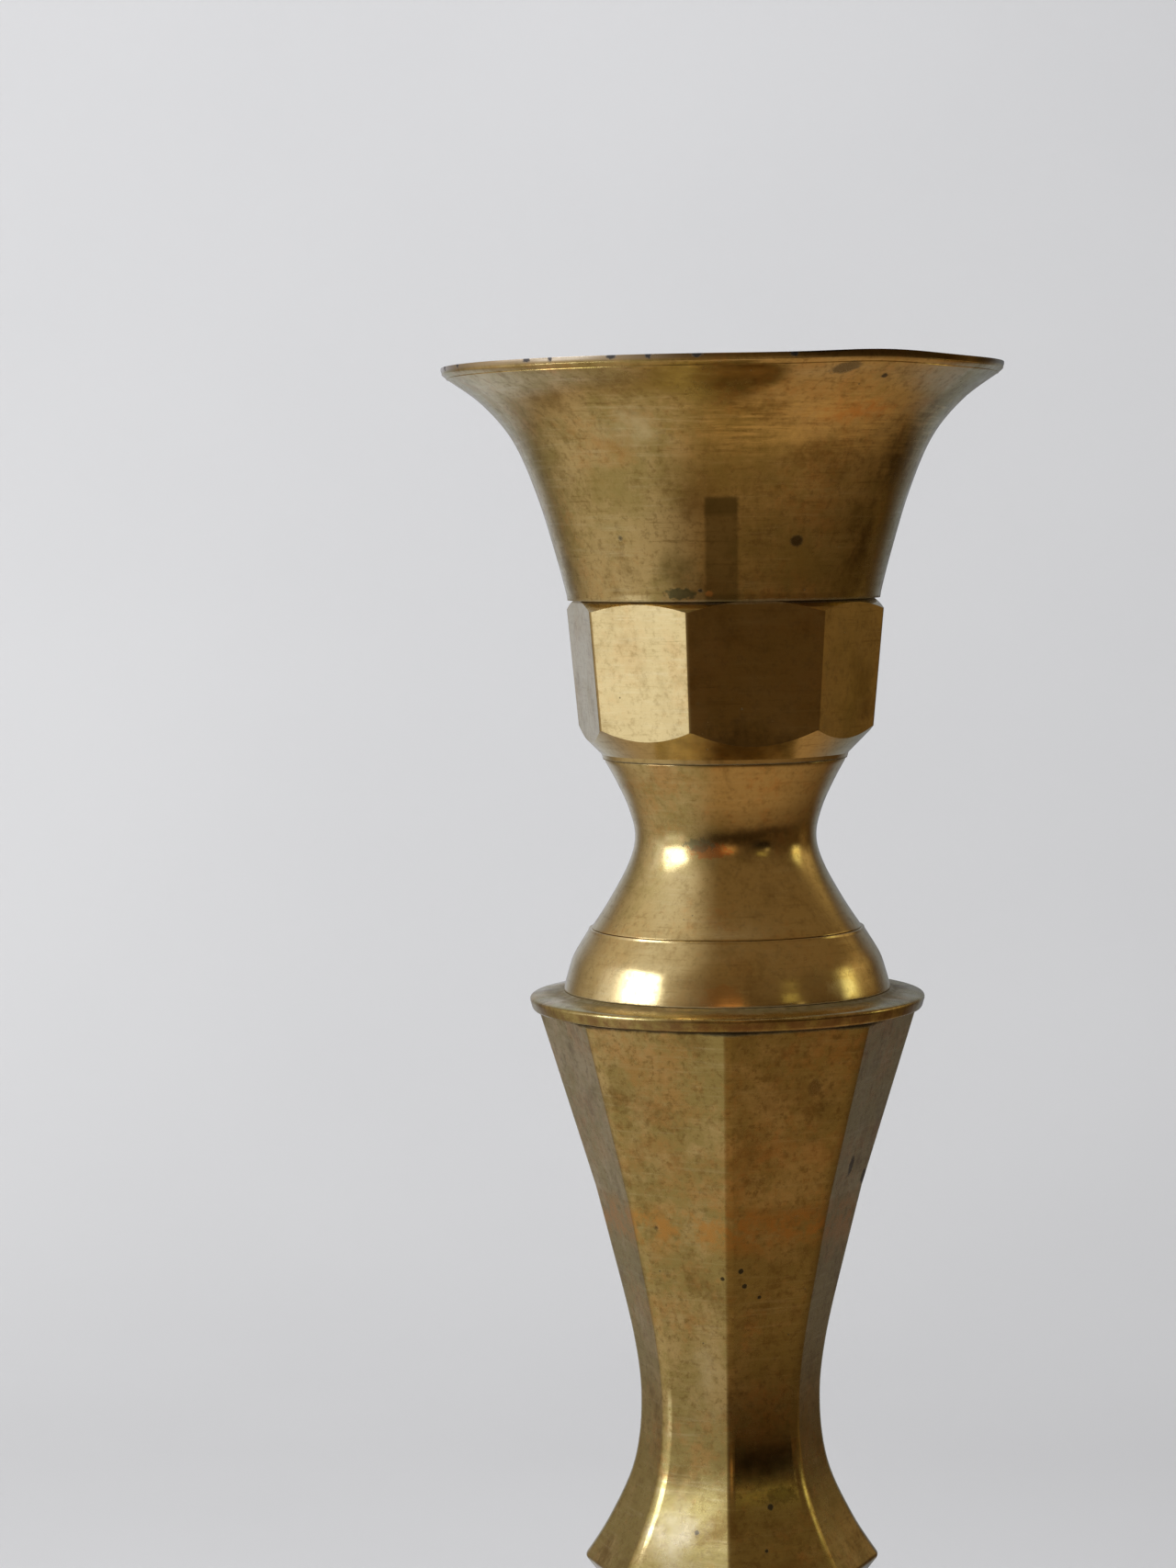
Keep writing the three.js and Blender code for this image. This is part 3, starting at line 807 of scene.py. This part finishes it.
# ---- the octagonal collar ----
# A turned ring with a coned underside, ground with eight tapering flats: four wide and four narrow in turn.
low, high = heights("octagon_collar")
SOCKET_OUTSIDE = 22
WELL_FLOOR = 538.7
ring = [
    *recess(low, ROUND),
    (24.6, low),
    (24.9, low + 1),
    (34, low + 10.2),
    (34, high - 2.9),
    (30.2, high + 0.2),
    (SOCKET_OUTSIDE + 0.3, high + 0.2),
    (SOCKET_OUTSIDE + 0.3, WELL_FLOOR),
    (ROD_HOLE, WELL_FLOOR),
]
collar = loft("octagon_collar_ground", ring, ROUND)
WIDE_FLAT = 49
FIRST_FLAT = 12  # degrees right of the front that the first wide flat faces
CORNER_LOW = 29.8
CORNER_HIGH = 33.0
taper = (CORNER_HIGH - CORNER_LOW) / (high - low + 2)
prism = loft("eight_flats", [(3, low - 1), (40, low - 1), (40, high + 1), (3, high + 1)], ROUND)
for number in range(OCTAGON):
    across = WIDE_FLAT if number % 2 == 0 else 90 - WIDE_FLAT
    facing = FIRST_FLAT + 45 * number
    turn = math.radians(facing)
    shrink = math.cos(math.radians(across / 2))
    outward = Vector((math.sin(turn), -math.cos(turn), -taper * shrink)).normalized()
    point = Vector(on_side(facing, CORNER_LOW * shrink, low - 1)) * MM
    edit(prism)
    bpy.ops.mesh.select_all(action="SELECT")
    bpy.ops.mesh.bisect(plane_co=point, plane_no=outward, use_fill=True, clear_outer=True)
    bpy.ops.object.mode_set(mode="OBJECT")
for edge in prism.data.edges:
    ends = [prism.data.vertices[i].co for i in edge.vertices]
    edge.select = abs(ends[0].z - ends[1].z) > 10 * MM and min(math.hypot(*end.xy) for end in ends) > 10 * MM
bpy.ops.object.mode_set(mode="EDIT")
bpy.ops.mesh.select_mode(type="EDGE")
bpy.ops.mesh.bevel(offset=0.6 * MM, segments=4, profile=0.5)
bpy.ops.object.mode_set(mode="OBJECT")
modify(collar, "BOOLEAN", object=prism, operation="INTERSECT", solver="EXACT")
bpy.data.objects.remove(prism)
soften(collar, 0.35, 2, 12)
collar_brass = AgedBrass("collar_brass", 68, tarnish=0.3, copper=0.2, scratches=0.4)
collar_brass.grime(low, 0.35, 0.7)
collar_brass.grime(high, 0.3, 0.35)
collar_brass.cloud(on_side(8, 27, low + 4), (16, 8, 6), DIRT, 0.65)
collar_brass.cloud(on_side(60, 31, low + 14), (12, 14, 22), OLIVE, 0.8)
collar_brass.cloud(on_side(64, 31, low + 10), (7, 9, 16), BROWN, 0.8)
stand_for(collar, "octagon_collar", collar_brass.done(0.17))


# ---- the candle cup ----
# A trumpet of turned brass with a thin lip. A knock has bent the lip up over a short arc at the front right.
low, high = heights("bell_cup")
LIP = 56
seat = low
rim = 610.7
shank = [(31.6, seat + 1.2), (33.4, 572), (37.2, 584.6)]
flare = curve([*shank, (41.9, 595.6), (48.1, 603.1), (55.2, 608.3), (LIP, 609.2)], 9)
bowl = inside(flare[6:], 2.7, 1.3)[::-1]
floor_of_cup = seat + 2.7
cup = loft(
    "bell_cup_turned",
    [
        (SOCKET_OUTSIDE + 0.3, seat),
        (31.4, seat),
        *flare,
        (LIP + 0.2, rim - 0.9),
        (LIP + 0.2, rim - 0.4),
        *bowl,
        (26.6, floor_of_cup),
        (SOCKET_OUTSIDE + 0.3, floor_of_cup),
    ],
    240,
)
DENT_AT = 34  # degrees from the front
DENT_SPREAD = 11  # degrees
DENT_LIFT = 0.8
DENT_PULL = 0.7
DENT_DEPTH = 10
for vertex in cup.data.vertices:
    x, y, z = (value / MM for value in vertex.co)
    climb = min(max((z - rim + DENT_DEPTH) / DENT_DEPTH, 0), 1)
    away = math.degrees(math.atan2(x, -y)) - DENT_AT
    share = climb * climb * (3 - 2 * climb) * math.exp(-((away / DENT_SPREAD) ** 2) / 2)
    shrink = 1 - DENT_PULL * share / math.hypot(x, y)
    vertex.co = Vector((x * shrink, y * shrink, z + DENT_LIFT * share)) * MM
soften(cup, 0.25, 2, 25)
cup_brass = AgedBrass("cup_brass", 71, tarnish=0.75, copper=0.4, scratches=0.5)
cup_brass.grime(seat, 0.5, 0.4)
# Painted light on the lip: a pale painted highlight towards the left, on the window side, and painted shade towards the
# right.
lip = abs(cup_brass.z - rim).rises(1.6, 0.9)
painted_lit_side = cup_brass.x.rises(5, -12)
cup_brass.colour = cup_brass.mix(lip * painted_lit_side * 0.8, cup_brass.colour, (0.84, 0.74, 0.66))
cup_brass.colour = cup_brass.mix(lip * cup_brass.x.rises(2, 22) * 0.6, cup_brass.colour, DIRT)
rubbed = abs(cup_brass.z - 597).rises(8, 3) * cup_brass.x.rises(-14, 4) * cup_brass.y.rises(0, -8)
rubbed = rubbed * cup_brass.streaks.rises(0.42, 0.62) * cup_brass.noise(5, 4, 0.7).rises(0.35, 0.6)
cup_brass.colour = cup_brass.mix(rubbed * 0.8, cup_brass.colour, (1.0, 0.8, 0.4))
for degrees, size in ((-76, 1.1), (-66, 0.9), (-41, 1.2), (-35, 0.7), (-21.4, 1.4), (-14, 0.8), (-4.7, 1.3), (14, 1.0)):
    cup_brass.stain(on_side(degrees, LIP, rim - 0.4), (size, size, 1.0), SOOT_BLUE, 0.9, 0.5)
# Painted shade: a dark crescent under the bent lip of the dent.
cup_brass.stain(on_side(26, 53.4, 607.6), (4.6, 2.2, 1.7), (0.24, 0.19, 0.1), 0.85, 0.3, 0.3)
cup_brass.stain(on_side(36.8, 51.2, 606.4), (0.9, 0.9, 0.7), DIRT, 0.8, 0.4)
for place, size, colour, strength in (
    (on_side(-22, 42, 597), (12, 9, 7), PALE_GOLD, 0.8),
    (on_side(-42, 46, 604), (11, 9, 5), BROWN, 0.8),
    (on_side(-34, 36, 586), (12, 9, 9), OLIVE, 0.9),
    (on_side(-30, 40, 594), (9, 7, 6), COPPER, 0.6),
    (on_side(-14, 33, 570), (8, 6, 8), (0.3, 0.24, 0.09), 0.9),
    (on_side(4, 38, 590), (18, 9, 8), OLIVE, 0.9),
    (on_side(-8, 36, 584), (7, 9, 8), BROWN, 0.7),
    (on_side(18, 41, 595), (8, 6, 4), (1.0, 0.82, 0.42), 1.0),
    (on_side(35, 44, 600), (18, 9, 3), (0.85, 0.45, 0.16), 0.9),
    (on_side(28, 40, 592), (12, 9, 4), BROWN, 0.8),
    (on_side(30, 33, 571), (15, 9, 7), OLIVE, 0.9),
    (on_side(58, 40, 591), (6, 9, 12), (0.14, 0.085, 0.03), 0.85),
    (on_side(52, 34, 575), (5, 8, 14), (0.16, 0.1, 0.04), 0.8),
):
    cup_brass.cloud(place, size, colour, strength)
# Painted reflection: a dark upright strip down the front of the cup stands for a camera stand in front of it mirrored
# in the brass, strongest low down.
wander = (cup_brass.noise(2, 4, 0.7) - 0.5) * 0.8
painted_stand_reflection = abs(cup_brass.x + 0.3 + wander).rises(3.6, 2.7) * cup_brass.y.rises(0, -5) * cup_brass.z.rises(584.4, 583.4)
cap = cup_brass.z.rises(579.6, 581.2)
cup_brass.colour = cup_brass.mix(painted_stand_reflection * (cap * 0.25 + 0.62), cup_brass.colour, (0.2, 0.165, 0.07))
cup_brass.stain(on_side(24.3, 34, 575.4), (1.8, 1.8, 1.4), (0.1, 0.07, 0.03), 0.9, 0.25, 0.2)
cup_brass.stain(on_side(-15, 31.4, 565.4), (3.6, 3.6, 1.3), (0.1, 0.13, 0.08), 0.75, 0.9, 0)
cup_brass.stain(on_side(-8, 31.5, 566), (0.7, 0.7, 0.6), DIRT, 0.9, 0.4)
cup_brass.stain(on_side(-5, 31.4, 565.4), (1.0, 1.0, 0.8), COPPER, 0.9, 0.4, 0)
stand_for(cup, "bell_cup", cup_brass.done(0.15))


# ---- the candle socket ----
# A turned brass cup that hangs through the candle cup into the collar. It was never polished, so it is dull.
low, high = heights("candle_socket")
OUTSIDE = 22
BORE = 19.5
SEAT = 550
WELL = 13.5
WELL_TOP = low + 4
flange_edge = wide("candle_socket")
socket = loft(
    "candle_socket_turned",
    [
        (ROD_HOLE, low),
        (OUTSIDE, low),
        (OUTSIDE, high - 1.8),
        (flange_edge, high - 1.8),
        (flange_edge, high - 0.5),
        (flange_edge - 0.5, high),
        (BORE + 0.8, high),
        (BORE, high - 0.8),
        (BORE, SEAT),
        (WELL, SEAT),
        (WELL, WELL_TOP),
        (ROD_HOLE, WELL_TOP),
    ],
    ROUND,
)
soften(socket, 0.25)
hidden = AgedBrass("hidden_brass", 79, tarnish=0.9, copper=0.25)
hidden.grime(SEAT, 1.5, 0.8)
hidden.grime(high - 1.8, 0.5, 0.7)
hidden_material = hidden.done(0.42)
stand_for(socket, "candle_socket", hidden_material)


# ---- the washer and the round nut in the socket ----
# A plain turned brass washer, and a round brass nut with a slot across it for a broad screwdriver.
low, high = heights("cup_washer")
washer_edge = wide("cup_washer")
ROD_CLEARANCE = 4.15
washer = loft(
    "cup_washer_turned",
    [(ROD_CLEARANCE, low), (washer_edge, low), (washer_edge, high), (ROD_CLEARANCE, high)],
    64,
)
soften(washer, 0.25)
stand_for(washer, "cup_washer", hidden_material)

low, high = heights("cup_nut")
nut_edge = wide("cup_nut")
round_nut = loft(
    "cup_nut_turned",
    [
        (ROD_CLEARANCE, low),
        (nut_edge, low),
        (nut_edge, high - 1),
        (nut_edge - 0.9, high - 0.1),
        (nut_edge - 1.3, high),
        (ROD_CLEARANCE + 0.5, high),
        (ROD_CLEARANCE, high - 0.5),
    ],
    64,
)
SLOT_WIDTH = 2.4
SLOT_DEPTH = 2
bpy.ops.mesh.primitive_cube_add(size=1, location=(0, 0, high * MM))
cutter = bpy.context.object
cutter.scale = (24 * MM, SLOT_WIDTH * MM, 2 * SLOT_DEPTH * MM)
bpy.ops.object.transform_apply(location=True, rotation=False, scale=True)
modify(round_nut, "BOOLEAN", object=cutter, operation="DIFFERENCE", solver="EXACT")
bpy.data.objects.remove(cutter)
soften(round_nut, 0.18, 2)
stand_for(round_nut, "cup_nut", hidden_material)


# ---- the tie rod ----
# A plain drawn steel rod that runs up through every section, with a thread cut at each end.
low, high = heights("tie_rod")
rod_radius = wide("tie_rod")
THREAD_DEPTH = 0.45
PITCH = 1.25
TURNS_BELOW = 18
TURNS_ABOVE = 9
STEPS_PER_TURN = 6


def thread(start, turns):
    """Rings up a threaded stretch, close enough together to carry the thread."""
    return [(rod_radius, start + PITCH * i / STEPS_PER_TURN) for i in range(turns * STEPS_PER_TURN + 1)]


upper_thread = high - 0.8 - PITCH * TURNS_ABOVE
rod = loft(
    "tie_rod_drawn",
    [
        (0.4, low),
        (rod_radius - 0.8, low),
        *thread(low + 0.8, TURNS_BELOW),
        *thread(upper_thread, TURNS_ABOVE),
        (rod_radius - 0.8, high),
        (0.4, high),
    ],
    24,
)
edit(rod, "VERT")
bpy.ops.object.mode_set(mode="OBJECT")
for vertex in rod.data.vertices:
    vertex.select = math.hypot(vertex.co.x, vertex.co.y) < 0.5 * MM
bpy.ops.object.mode_set(mode="EDIT")
bpy.ops.mesh.delete(type="FACE")
bpy.ops.mesh.select_all(action="SELECT")
bpy.ops.mesh.region_to_loop()
bpy.ops.mesh.fill_holes(sides=0)
bpy.ops.mesh.select_all(action="SELECT")
bpy.ops.mesh.normals_make_consistent(inside=False)
bpy.ops.object.mode_set(mode="OBJECT")
for vertex in rod.data.vertices:
    x, y, z = (value / MM for value in vertex.co)
    threaded = low + 0.8 < z < low + 0.8 + PITCH * TURNS_BELOW or upper_thread < z < high - 0.8
    if threaded and math.hypot(x, y) > 1:
        phase = (z / PITCH - math.atan2(y, x) / (2 * math.pi)) % 1
        shrink = 1 - THREAD_DEPTH * abs(2 * phase - 1) / rod_radius
        vertex.co.x *= shrink
        vertex.co.y *= shrink
bpy.ops.object.select_all(action="DESELECT")
rod.select_set(True)
bpy.context.view_layer.objects.active = rod
bpy.ops.object.shade_smooth_by_angle(angle=math.radians(38))


class WornSteel(Finish):
    """Bare mild steel: grey, brushed round, with brown rust in spots and in its corners."""

    def __init__(self, name, seed, rust=0.4):
        super().__init__(name, seed)
        clouds = self.noise(6, 5, 0.7) * 0.6 + self.noise(1.2, 4, 0.7) * 0.4
        self.rust = clouds.rises(0.66 - 0.2 * rust, 0.8 - 0.25 * rust)
        brushed = self.noise(0.5, 4, 0.7, stretch=(0.1, 0.1, 1.0))
        steel = self.mix(brushed.rises(0.35, 0.7), (0.33, 0.325, 0.31), (0.5, 0.49, 0.47))
        steel = self.mix(self.noise(9, 3).rises(0.4, 0.7) * 0.5, steel, (0.2, 0.17, 0.14))
        grain = self.noise(0.4, 4, 0.7)
        orange = self.mix(grain.rises(0.35, 0.7), (0.07, 0.025, 0.012), (0.25, 0.1, 0.035))
        colour = self.mix(self.rust * 0.9, steel, orange)
        roughness = 0.3 + brushed * 0.15 + self.rust * 0.45
        height = brushed * 0.25 + self.rust * grain
        self.surface(colour, roughness, 1 - self.rust * 0.9, height, 0.08)


steel_material = WornSteel("rod_steel", 83).material
stand_for(rod, "tie_rod", steel_material)


# ---- the clamp plate, the split washer and the nut under the foot ----
# A pressed steel dish that spreads the pull of the rod over the end wall, a spring steel ring, and a plain
# hexagon nut with chamfered corners.
low, high = heights("clamp_plate")
plate_edge = wide("clamp_plate")
plate = loft(
    "clamp_plate_pressed",
    [
        (ROD_HOLE, high - 3),
        (9, high - 3),
        (22, low),
        (plate_edge, low),
        (plate_edge, high),
        (plate_edge - 2, high),
        (plate_edge - 4, high - 2.6),
        (9, high - 0.6),
        (ROD_HOLE, high - 0.6),
    ],
    96,
)
soften(plate, 0.5, 3, 10)
plate_material = WornSteel("plate_steel", 89, rust=0.8).material
stand_for(plate, "clamp_plate", plate_material)

low, high = heights("lock_washer")
ring_edge = wide("lock_washer")
SPLIT = 0.16  # half the gap of the ring, in radians
bpy.ops.object.select_all(action="DESELECT")
middle = (ring_edge + ROD_CLEARANCE) / 2
bpy.ops.mesh.primitive_plane_add(size=1, location=(0, 0, 0), rotation=(math.pi / 2, 0, 0))
spring = bpy.context.object
spring.name = "lock_washer_split"
spring.scale = ((ring_edge - ROD_CLEARANCE) * MM, (high - low) * MM, 1)
bpy.ops.object.transform_apply(location=False, rotation=True, scale=True)
bpy.ops.object.mode_set(mode="EDIT")
bpy.ops.mesh.select_all(action="SELECT")
bpy.ops.transform.translate(value=(middle * MM, 0, (low + high) / 2 * MM))
bpy.ops.mesh.spin(steps=60, angle=2 * math.pi - 2 * SPLIT, center=(0, 0, 0), axis=(0, 0, 1))
bpy.ops.mesh.select_all(action="SELECT")
bpy.ops.mesh.normals_make_consistent(inside=False)
bpy.ops.object.mode_set(mode="OBJECT")
turn_to_front = -math.pi / 2 + SPLIT
spring.rotation_euler = (0, 0, turn_to_front)
bpy.ops.object.transform_apply(location=False, rotation=True, scale=False)
soften(spring, 0.2, 2)
stand_for(spring, "lock_washer", plate_material)

low, high = heights("base_nut")
corner = wide("base_nut")
CHAMFER = 1.1
hexagon = loft(
    "base_nut_hexagon",
    [(ROD_CLEARANCE, low), (corner, low), (corner, high), (ROD_CLEARANCE, high)],
    6,
)
bpy.ops.object.select_all(action="DESELECT")
blank = loft(
    "nut_blank",
    [
        (ROD_CLEARANCE + 0.5, low),
        (corner - CHAMFER, low),
        (corner + 0.05, low + CHAMFER * 0.6),
        (corner + 0.05, high - CHAMFER * 0.6),
        (corner - CHAMFER, high),
        (ROD_CLEARANCE + 0.5, high),
        (ROD_CLEARANCE, high - 0.5),
        (ROD_CLEARANCE, low + 0.5),
    ],
    72,
)
modify(hexagon, "BOOLEAN", object=blank, operation="INTERSECT", solver="EXACT")
bpy.data.objects.remove(blank)
soften(hexagon, 0.12, 2, 30)
stand_for(hexagon, "base_nut", steel_material)
